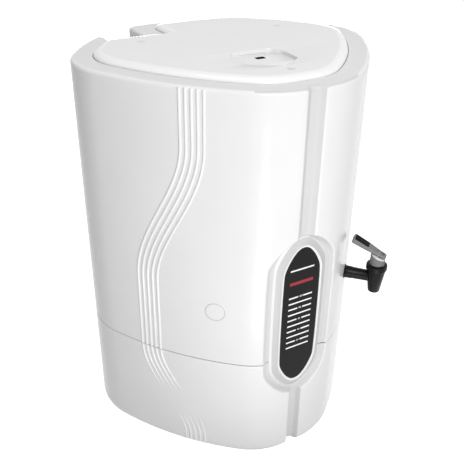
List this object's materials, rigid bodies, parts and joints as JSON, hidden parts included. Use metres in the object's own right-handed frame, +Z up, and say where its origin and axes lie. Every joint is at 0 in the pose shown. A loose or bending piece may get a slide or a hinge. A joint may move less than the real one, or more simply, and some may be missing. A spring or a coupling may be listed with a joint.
{
  "type": "laboratory water reservoir",
  "caption": "Tall rounded white water purification reservoir with lid, wave ribs, sunk level display, lever dispensing tap, vent filter, hose tails and rear drain.",
  "frame": {"origin": "on the floor plane at the centre of the bounding box", "axes": "+Z up; -Y is the front with the level display; +X is the right side, with the tap, seen from the front"},
  "size_m": [0.376, 0.338, 0.499],
  "materials": {
    "white_casing": "glossy white moulding",
    "lid_white": "glossy white moulding, a little greyer than the casing",
    "tank_natural": "natural blow-moulded plastic",
    "black_moulding": "black moulding",
    "display_black": "smooth black window",
    "bar_white": "white light guide",
    "bar_red": "dark red insert",
    "tap_grey": "mid-grey moulding",
    "rubber": "black rubber",
    "silicone": "pale silicone rubber",
    "screw_steel": "stainless steel",
    "board_green": "green circuit board",
    "fitting_blue": "blue moulding"
  },
  "bodies": {
    "casing": {"upper_housing": "white_casing", "base_housing": "white_casing", "display_bezel": "white_casing", "port_plug": "white_casing", "return_fitting": "lid_white", "overflow_fitting": "lid_white", "drain_pipe": "lid_white", "drain_valve": "lid_white", "inner_tank": "tank_natural", "tank_cover": "tank_natural", "neck_seal": "silicone", "tap_body": "black_moulding", "tap_nut": "black_moulding", "level_sensor": "black_moulding", "display_window": "display_black", "light_guide": "bar_white", "alarm_bar": "bar_red", "display_board": "board_green", "tap_spacer": "tap_grey", "tap_bonnet": "tap_grey", "tap_seal": "rubber", "sensor_lead": "rubber", "foot_1": "rubber", "foot_2": "rubber", "foot_3": "rubber", "foot_4": "rubber", "seam_screw_1": "screw_steel", "seam_screw_2": "screw_steel", "inlet_fitting": "fitting_blue"},
    "lid": {"lid": "lid_white", "vent_filter": "black_moulding", "vent_seal": "rubber", "lid_screw_1": "screw_steel", "lid_screw_2": "screw_steel", "lid_screw_3": "screw_steel"},
    "vent_cover": {"vent_cover": "lid_white"},
    "tap_valve": {"valve_stem": "screw_steel", "seat_cup": "rubber"},
    "tap_lever": {"tap_lever": "tap_grey", "lever_pin": "screw_steel"},
    "drain_cock": {"drain_cock": "screw_steel", "drain_handle": "fitting_blue"}
  },
  "joints": [
    {"name": "lid_lift", "type": "slide", "parent": "casing", "child": "lid", "axis": [0, 0, 1], "range_m": [0, 0.12]},
    {"name": "vent_cover_lift", "type": "slide", "parent": "lid", "child": "vent_cover", "axis": [0, 0, 1], "range_m": [0, 0.04]},
    {"name": "stem_lift", "type": "slide", "parent": "casing", "child": "tap_valve", "axis": [0, 0, 1], "range_m": [0, 0.0061]},
    {"name": "lever_tilt", "type": "hinge", "parent": "tap_valve", "child": "tap_lever", "pos_m": [0.12106, -0.15588, 0.26], "axis": [0.7424, 0.6699, 0], "range_deg": [0, 30]},
    {"name": "drain_turn", "type": "hinge", "parent": "casing", "child": "drain_cock", "pos_m": [0, 0.14436, 0.034], "axis": [0, 0, 1], "range_deg": [0, 90]}
  ],
  "couplings": [
    {"joint": "stem_lift", "follows": "lever_tilt", "m_per_rad": 0.0115}
  ]
}
